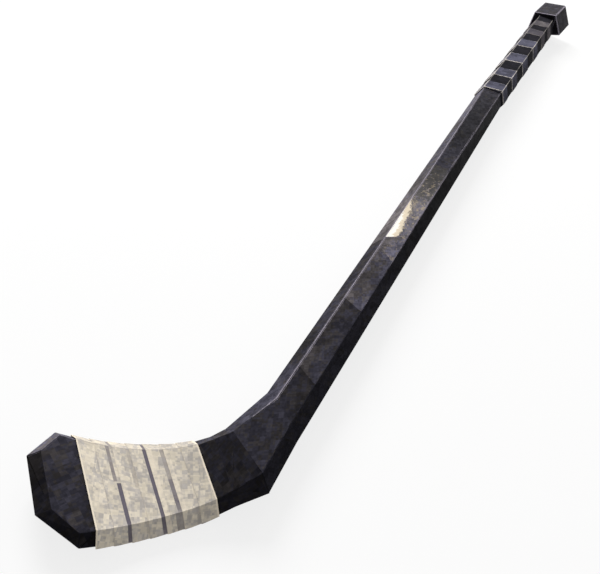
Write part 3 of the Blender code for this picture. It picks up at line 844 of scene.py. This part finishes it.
def wound_cloth(bm, section, places, lay, steps, profile, cover, painter, strays=()):
    """Extrude a strip of cloth along its winding, and store where it runs and how it is worn.

    profile lists (share of the width, height); painter gives painted light and shade, wear, and
    soil with painted shadow lines. The result is the length of the cloth.
    """
    layers = cloth_layers(bm)
    sections = []
    for index, (side, share, turn) in enumerate(steps):
        near = lay(turn)
        width = lay(turn + cover) - near
        shifts = strays[index] if strays else {}
        sections.append([point_on(section, places, near + width * part + shifts.get(part, 0.0),
                                  side, share, height) for part, height in profile])
    rows = extrude_chain(bm, sections)
    run = 0.0
    middle = len(profile) // 2
    for index, (row, (side, share, turn)) in enumerate(zip(rows, steps)):
        if index:
            run += (row[middle].co - rows[index - 1][middle].co).length
        width = lay(turn + cover) - lay(turn)
        for vert, (part, _) in zip(row, profile):
            store(vert, layers, run, width * part, *painter(side, share, turn, part))
    return run


def add_cloth(bm, length, thickness, name, material, slot, node, *under):
    """Thicken a winding inwards and add it."""
    area = sum(face.calc_area() for face in bm.faces)
    bmesh.ops.recalc_face_normals(bm, faces=bm.faces[:])
    middle = sum((v.co for v in bm.verts), Vector()) / len(bm.verts)
    outward = sum(f.calc_area() * f.normal.dot(f.calc_center_median() - middle) for f in bm.faces)
    if outward < 0:
        bmesh.ops.reverse_faces(bm, faces=bm.faces[:])
    bmesh.ops.solidify(bm, geom=bm.faces[:], thickness=thickness)
    bmesh.ops.recalc_face_normals(bm, faces=bm.faces[:])
    piece = add_piece(bm, name, material, slot, node)


def cloth_material(name, light, grey, rim, soil_and_shadow, seed, block, pitch, lean=0.0):
    """Woven cloth with greyed blocky patches, pale worn rims, painted light and shade, and dark
    lines that are painted shadow on the blade tape and soil on the grip strip.
    """
    material, net, shader = new_material(name, Specular_IOR_Level=0.03, Roughness=0.95,
                                         Sheen_Weight=0.02, Sheen_Roughness=0.6)
    run, across = net.attribute("run"), net.attribute("across")
    place = net.place(run, across)
    leaning = net.place(net.math("MULTIPLY_ADD", across, lean, run),
                        net.math("MULTIPLY_ADD", run, -lean, across))
    value, cool = net.group("mottle", {"Vector": leaning, "Block": block, "Seed": seed})[:2]
    height, slub = net.group("weave", {"Run": run, "Across": across, "Pitch": pitch})[:2]
    value = net.math("MULTIPLY_ADD", slub, 0.24, net.math("SUBTRACT", value, 0.12))
    color = net.blend(net.ramp(value, 0.22, 0.70), (*grey, 1), (*light, 1))
    lift = net.ramp(cool, 0.3, 0.75, 0.90, 1.08)
    color = net.blend(1.0, color, lift, "MULTIPLY")
    # Painted light and shade, side by side of the winding
    color = net.blend(1.0, color, net.attribute("painted_light"), "MULTIPLY")
    wear = net.group("wear", {"Wear": net.attribute("wear"), "Vector": place})[0]
    color = net.blend(wear, color, (*rim, 1))
    # Dark lines: painted shadow beside the tape's raised edges, and soil on the strip's handled
    # turns
    line = net.math("MULTIPLY_ADD", value, 0.3, net.math("SUBTRACT", net.attribute("soil_and_shadow"), 0.15))
    color = net.blend(net.math("MULTIPLY", net.ramp(line, 0.08, 0.8), 0.95), color, (*soil_and_shadow, 1))
    net.feed(shader, {"Base Color": color, "Normal": net.bump(height, 0.3)})
    return material


# Painted shadow lines of the tape, where a raised edge shades the next turn: turn, side, depth and
# far end across the width, and where it isn't the whole side from 0.04 of the width, start and end
# along the side and near end
WHOLE_LINE = (0.0, 1.0, 0.04)
PAINTED_SHADOW_LINES = ((5, 1, 0.5, 0.395, 0.0, 0.47, 0.20), (5, 1, 0.95, 0.255, 0.5, 1.0, 0.04),
          (4, 1, 0.32, 0.24, 0.0, 0.62, 0.04), (3, 1, 0.9, 0.24),
          (2, 1, 0.42, 0.255, 0.0, 0.5, 0.04), (2, 1, 0.6, 0.255, 0.5, 1.0, 0.04),
          (5, 2, 0.7, 0.24), (3, 2, 0.7, 0.26), (2, 2, 0.45, 0.42), (1, 2, 0.3, 0.24),
          (4, 2, 0.25, 0.18), (5, 0, 0.5, 0.19), (3, 0, 0.6, 0.19), (2, 4, 0.7, 0.20),
          (4, 4, 0.9, 0.20), (5, 4, 0.5, 0.20, 0.3, 1.0, 0.04))
WORN_RIMS = {4: 0.62, 3: 0.35, 2: 0.75, 1: 0.62}

# Cuts along each side of the blade and across the tape, so that its painted shadow lines end
# sharply, and the heights of the tape's edges
TAPE_SHARES = (0.0, 0.03, 0.05, 0.27, 0.465, 0.48, 0.5, 0.73, 0.95)
TAPE_PARTS = (0.0, 0.03, 0.04, 0.055, 0.18, 0.195, 0.21, 0.23, 0.24, 0.255, 0.27, 0.38, 0.395,
              0.42, 0.44, 0.6, 0.75, 0.9, 0.92, 0.985)
TAPE_NEAR, TAPE_FAR, TAPE_FAR_EDGE = 0.00092, 0.00120, 0.00112

# Size and lean of the patches in the cloth, and the pitch of its weave
TAPE_BLOCK, TAPE_LEAN, TAPE_WEAVE = (0.0034, 0.0034, 1.0), 0.28, 0.0007
GRIP_BLOCK, GRIP_WEAVE = (0.0075, 0.0050, 1.0), 0.0009

# Laps of the under-wrap, and how low the cloth lies at each share of one
WRAP_LAPS = 13
WRAP_DROPS = ((0.0, 0.00018), (0.06, 0.0), (0.96, 0.00006))
GRIP_SIDE = 0.0195       # mean width of a side of the grip

# Cuts of the strip along each side, how low it lies at each share of its width, and its gap
# over the under-wrap
STRIP_SHARES = (0.0, *(0.06 + 0.08 * i for i in range(12)))
STRIP_DROPS = ((0.0, 0.0003), (0.03, 0.0001), (0.06, 0.0), (0.09, 0.0), (0.5, 0.0), (0.91, 0.0),
               (0.94, 0.0), (0.97, 0.0001), (1.0, 0.0003))
STRIP_GAP = 0.0002
FRAY_SEED = 7


def tape_painter(side, share, turn, part):
    """Painted light and shade, wear, and painted shadow lines of the blade tape."""
    whole = int(turn + 0.001)
    soil_and_shadow = 0.0
    for at, on, depth, far, *rest in PAINTED_SHADOW_LINES:
        start, end, near = rest or WHOLE_LINE
        if (at, on) == (whole, side) and start <= share <= end and near <= part <= far:
            soil_and_shadow = depth
    wear = 0.55 if side in (0, 5) else WORN_RIMS.get(whole, 0.3) * smooth((part - 0.45) / 0.35)
    # A painted shadow line along the front's high edge
    if side == 1 and share < 0.03:
        soil_and_shadow = max(soil_and_shadow, 0.3)
    if whole == TAPE_TURNS - 1 and part > 0.9:
        wear = 1.0
    if whole == 0 and part < 0.08:
        wear = 0.9
    # Painted light and shade by side: side 2 lighter, side 0 darker; the turns a little lighter
    # towards the toe
    painted_light = mix(0.95, 1.06, turn / TAPE_TURNS) * {0: 0.92, 2: 1.10}.get(side, 1.0)
    return painted_light, wear, soil_and_shadow


def corner_wear(share):
    """1 at both corners of a side, and 0 between them."""
    return max(smooth((0.08 - share) / 0.07), smooth((share - 0.92) / 0.07))


def strip_ahead(side, share):
    """How the strip bows: it runs ahead at the front's low corner and behind at its high one."""
    return {0: -share, 1: 2 * share - 1, 2: 1 - share}.get(side, 0)


def strip_painter(side, share, turn, part):
    """Painted shade across the low slope, wear, and soil of the light strip on the grip; the
    handled turns are darker too.
    """
    corner = max(corner_wear(share), 0.6 if side == 0 else 0.0)
    near_rim = 1.0 if turn < 0.5 else 0.82
    rim = near_rim if part < 0.05 else 0.62 if part > 0.95 else 0.0
    # Painted shade: the low slope darkens away from the front
    painted_light = mix(1.0, 0.35, share) if side == 2 else 1.0
    strength = {0: 1.0, 1: 1.0, 2: 0.9}.get(side, 0.7)
    handled = smooth((turn - STRIP_TURNS + 1.6) / 0.8)
    wear = max(strength * max(corner, rim), 0.52 * handled)
    return painted_light * mix(1.0, 0.85, handled), wear, 0.6 * handled


def wrap_painter(side, share):
    """Painted shade on the low slope, wear, and soil (none) of the dark under-wrap."""
    # Painted shade on the low slope
    return 0.6 if side == 2 else 1.0, (0.85 if side < 3 else 0.5) * corner_wear(share), 0.0


# Operators

class STICK_OT_add_shaft(bpy.types.Operator):
    """Shaft tube and neck with worn edges"""

    bl_idname = "stick.add_shaft"
    bl_label = "Add Shaft and Neck"

    def execute(self, context):
        paint = context.scene.stick_paint
        for node, slot in (("shaft_tube", "shaft_composite"), ("neck_tube", "neck_composite")):
            bm = softened_copy(node, paint.edge_width, paint.rim_width, faces_out)
            cut_across(bm, SHAFT_CUTS)
            lay_flat(bm, Vector((1, 0, 0)), SHAFT_GRAIN)
            paint_faces(bm, shaft_painter)
            material = painted_material(slot + "_paint", 1.0, scuffed_and_highlit=True)
            add_piece(bm, node + "_worn", material, slot, node)
        return {"FINISHED"}


class STICK_OT_add_blade(bpy.types.Operator):
    """Both skins of the blade with worn edges"""

    bl_idname = "stick.add_blade"
    bl_label = "Add Blade"

    def execute(self, context):
        paint = context.scene.stick_paint
        for node, up in (("blade_front_skin", 1), ("blade_back_skin", -1)):
            def outside(face):
                return face.normal.z * up > 0.05

            bm = softened_copy(node, paint.edge_width * BLADE_EDGE_SHARE, paint.rim_width, outside)
            lay_flat(bm, ALONG, BLADE_GRAIN)
            paint_faces(bm, blade_painter)
            material = painted_material(node + "_paint", 5.0 + up)
            add_piece(bm, node + "_worn", material, "skin_composite", node)
        return {"FINISHED"}


class STICK_OT_add_knob(bpy.types.Operator):
    """Worn rubber knob on the butt"""

    bl_idname = "stick.add_knob"
    bl_label = "Add Knob"

    def execute(self, context):
        bm = softened_copy("end_knob", 0.0, context.scene.stick_paint.rim_width, lambda face: True)
        lay_flat(bm, Vector((1, 0, 0)), SHAFT_GRAIN)
        paint_faces(bm, knob_painter)
        material = painted_material("knob_rubber_worn", 9.0)
        add_piece(bm, "end_knob_worn", material, "knob_rubber", "end_knob")
        return {"FINISHED"}


class STICK_OT_add_blade_tape(bpy.types.Operator):
    """Cloth tape on the blade, each turn lapping over the next"""

    bl_idname = "stick.add_blade_tape"
    bl_label = "Add Blade Tape"

    def execute(self, context):
        tape = context.scene.stick_tape
        steps = winding_steps(TAPE_TURNS - 1, 0.0, TAPE_SHARES)
        profile = [(part, mix(TAPE_NEAR, TAPE_FAR, smooth(part))) for part in TAPE_PARTS]
        profile.append((1.0, TAPE_FAR_EDGE))
        bm = bmesh.new()
        length = wound_cloth(bm, blade_ring, blade_places(), tape_lay, steps, profile,
                             1 + tape.lap, tape_painter)
        material = cloth_material("blade_tape_cloth", tape.cloth, tape.grey_cloth, tape.rim,
                                  tape.soil_and_shadow, 3.0, TAPE_BLOCK, TAPE_WEAVE, TAPE_LEAN)
        add_cloth(bm, length, tape.cloth_thickness, "blade_tape_wound", material, "blade_cloth",
                  "blade_tape", "blade_front_skin_worn", "blade_back_skin_worn")
        return {"FINISHED"}


class STICK_OT_add_grip(bpy.types.Operator):
    """Dark under-wrap and the lighter strip wound over it"""

    bl_idname = "stick.add_grip"
    bl_label = "Add Grip"

    def execute(self, context):
        self.add_wrap(context.scene.stick_grip)
        self.add_strip(context.scene.stick_grip)
        return {"FINISHED"}

    def add_wrap(self, grip):
        """The closed layer, with a low step at each of its laps."""
        length = SHAFT_LENGTH - FIT_GAP - GRIP_AT
        rings = [(GRIP_AT + length * (lap + part) / WRAP_LAPS, drop)
                 for lap in range(WRAP_LAPS) for part, drop in WRAP_DROPS]
        rings.append((GRIP_AT + length, 0.0))
        shares = (0.0, 0.06, 0.5, 0.94)
        around = [(side, share) for side in range(SIDES) for share in shares] + [(0, 0.0)]
        bm = bmesh.new()
        layers = cloth_layers(bm)
        sections = [[point_on(grip_ring, (GRIP_AT, SHAFT_LENGTH), at, side, share,
                              grip.wrap_outside - drop) for side, share in around]
                    for at, drop in rings]
        for row, (at, _) in zip(extrude_chain(bm, sections), rings):
            for vert, (side, share) in zip(row, around):
                store(vert, layers, (side + share) * GRIP_SIDE, at, *wrap_painter(side, share))
        bmesh.ops.remove_doubles(bm, verts=bm.verts[:], dist=MERGE_WITHIN)
        material = cloth_material("grip_dark_weave", grip.wrap, shade(grip.wrap, 0.6),
                                  shade(grip.frayed, 0.6), shade(grip.wrap, 0.4), 4.0,
                                  GRIP_BLOCK, GRIP_WEAVE)
        add_cloth(bm, length, grip.wrap_outside - FIT_GAP, "grip_under_wrap_cloth", material,
                  "grip_dark_cloth", "grip_under_wrap", "shaft_tube_worn")

    def add_strip(self, grip):
        """The open winding, with frayed edges."""
        bow = grip.bow / (strip_lay(1) - strip_lay(0))
        steps = [(side, share, turn + strip_ahead(side, share) * bow)
                 for side, share, turn in winding_steps(STRIP_TURNS, FRONT_STEP, STRIP_SHARES)]
        profile = [(part, grip.strip_outside - drop) for part, drop in STRIP_DROPS]
        draw = random.Random(FRAY_SEED)
        strays = [{edge: draw.uniform(-grip.fray, grip.fray) for edge in (0.0, 1.0)}
                  for _ in steps]
        bm = bmesh.new()
        length = wound_cloth(bm, grip_ring, (GRIP_AT, SHAFT_LENGTH), strip_lay, steps, profile,
                             STRIP_COVER, strip_painter, strays)
        material = cloth_material("grip_light_weave", grip.strip, shade(grip.strip, 0.55),
                                  grip.frayed, grip.handled, 6.0, GRIP_BLOCK, GRIP_WEAVE)
        add_cloth(bm, length, grip.strip_outside - grip.wrap_outside - STRIP_GAP,
                  "grip_strip_cloth", material, "grip_light_cloth", "grip_strip",
                  "grip_under_wrap_cloth")


class STICK_OT_dress_inner_pieces(bpy.types.Operator):
    """Materials for the solids that are sealed inside the stick"""

    bl_idname = "stick.dress_inner_pieces"
    bl_label = "Dress Inner Pieces"

    def execute(self, context):
        for node, (dark, light) in INNER_COLORS.items():
            material, net, shader = new_material(node + "_finish", Roughness=0.8)
            noise = net.noise(net.add("TexCoord").outputs["Object"], 240.0, 4.0)
            color = net.colors(noise, ((0.3, dark), (0.7, light)))
            net.feed(shader, {"Base Color": color, "Normal": net.bump(noise, 0.2, 0.0003)})
            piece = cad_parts[node]
            if not piece.material_slots:
                piece.data.materials.append(material)
            for slot in piece.material_slots:
                slot.material = material
        return {"FINISHED"}


# Darkest and lightest colour of each inner piece
FOAM = (srgb(226, 214, 176), srgb(240, 230, 196))
INNER_COLORS = {
    "joint_coupler": (srgb(50, 50, 52), srgb(70, 70, 74)),
    "hosel_block": (srgb(70, 70, 72), srgb(96, 95, 94)),
    "blade_spar": (srgb(52, 52, 54), srgb(74, 74, 76)),
    "upper_foam_core": FOAM,
    "lower_foam_core": FOAM,
    "butt_plug": (srgb(158, 122, 84), srgb(198, 162, 118)),
}


class STICK_OT_set_stage(bpy.types.Operator):
    """Pale floor, soft lights, white room and the camera"""

    bl_idname = "stick.set_stage"
    bl_label = "Set Stage"

    def execute(self, context):
        context.scene.view_settings.view_transform = "Standard"
        stage = context.scene.stick_stage
        self.add_floor(stage)
        self.add_room(stage)
        self.add_light("key_light", KEY_PLACE, 1.4, stage.key_power, (1, 1, 1))
        self.add_light("glint_light", GLINT_PLACE, 0.3, stage.glint_power, (1.0, 0.95, 0.86))
        self.add_camera()
        return {"FINISHED"}

    def seen_directly(self, net):
        """1 for what the camera sees, also in gloss and through glass."""
        rays = net.add("LightPath").outputs
        seen = net.math("MAXIMUM", rays["Is Camera Ray"], rays["Is Glossy Ray"])
        return net.math("MAXIMUM", seen, rays["Is Transmission Ray"])

    def add_floor(self, stage):
        bm = bmesh.new()
        bmesh.ops.create_grid(bm, x_segments=1, y_segments=1, size=stage.floor_size)
        material, net, shader = new_material("pale_floor", Roughness=0.9,
                                             Base_Color=(0.9, 0.9, 0.9, 1))
        glow = net.add("Emission")
        part = net.math("MULTIPLY", self.seen_directly(net), stage.floor_glow)
        both = net.add("MixShader", {0: part, 1: shader.outputs[0], 2: glow.outputs[0]})
        net.feed(net.tree.nodes["Material Output"], {0: both.outputs[0]})
        put_mesh_in_scene("floor", bm, material)

    def add_room(self, stage):
        world = bpy.data.worlds.new("soft_white_room")
        world.use_nodes = True
        bpy.context.scene.world = world
        net = Net(world.node_tree)
        strength = net.math("MULTIPLY_ADD", self.seen_directly(net), 1 - stage.room, stage.room)
        net.feed(world.node_tree.nodes["Background"], {0: (1, 1, 1, 1), 1: strength})

    def add_light(self, name, place, size, power, color):
        light = bpy.data.lights.new(name, "AREA")
        light.shape = "DISK"
        light.size = size
        light.energy = power
        light.color = color
        lamp = put_in_scene(name, light)
        lamp.location = place
        lamp.rotation_euler = (LIT_PLACE - place).to_track_quat("-Z", "Y").to_euler()

    def add_camera(self):
        camera = bpy.data.cameras.new("camera")
        camera.sensor_width = 36.0
        camera.lens = camera.sensor_width * FOCUS / IMAGE_WIDTH
        camera.shift_x, camera.shift_y = (v / IMAGE_WIDTH for v in CAMERA_SHIFT)
        camera.clip_start = 0.01
        camera.dof.use_dof = False
        eye = put_in_scene("camera", camera)
        eye.location = CAMERA_PLACE
        eye.rotation_euler = CAMERA_TURN
        bpy.context.scene.camera = eye


# Camera, solved from the corners of the facets; its place is from the heel corner of the axis
IMAGE_WIDTH = 600                        # in pixels, as the next two
FOCUS = 659.2
CAMERA_SHIFT = (3.9, -14.1)
CAMERA_PLACE = ORIGIN + Vector((-0.20659, -0.065504, 0.40015))
CAMERA_TURN = tuple(math.radians(v) for v in (46.458, -10.193, -62.983))
KEY_PLACE = Vector((1.0, 1.35, 1.6))
GLINT_PLACE = Vector((1.73, 0.10, 1.0))
LIT_PLACE = Vector((0, 0, 0.03))         # what both lights point at


class STICK_PT_pieces(bpy.types.Panel):
    """Buttons for the pieces and the sizes and colours they use"""

    bl_idname = "STICK_PT_pieces"
    bl_label = "Hockey Stick"
    bl_space_type = "VIEW_3D"
    bl_region_type = "UI"
    bl_category = "Stick"

    def draw(self, context):
        for operator in OPERATORS:
            self.layout.operator(operator.bl_idname)
        for name, group in SETTINGS.items():
            box = self.layout.box()
            box.label(text=group.__doc__)
            for key in group.__annotations__:
                box.prop(getattr(context.scene, name), key)


SETTINGS = {"stick_paint": StickPaintSettings, "stick_tape": StickTapeSettings,
            "stick_grip": StickGripSettings, "stick_stage": StickStageSettings}
OPERATORS = (STICK_OT_add_shaft, STICK_OT_add_blade, STICK_OT_add_knob, STICK_OT_add_blade_tape,
             STICK_OT_add_grip, STICK_OT_dress_inner_pieces, STICK_OT_set_stage)
CLASSES = (*SETTINGS.values(), *OPERATORS, STICK_PT_pieces)


def register():
    for item in CLASSES:
        bpy.utils.register_class(item)
    for name, group in SETTINGS.items():
        setattr(bpy.types.Scene, name, bpy.props.PointerProperty(type=group))


def unregister():
    for name in SETTINGS:
        delattr(bpy.types.Scene, name)
    for item in reversed(CLASSES):
        bpy.utils.unregister_class(item)


def main():
    register()
    bpy.ops.stick.add_shaft()
    bpy.ops.stick.add_blade()
    bpy.ops.stick.add_knob()
    bpy.ops.stick.add_blade_tape()
    bpy.ops.stick.add_grip()
    bpy.ops.stick.dress_inner_pieces()
    bpy.ops.stick.set_stage()


if __name__ == "__main__":
    main()
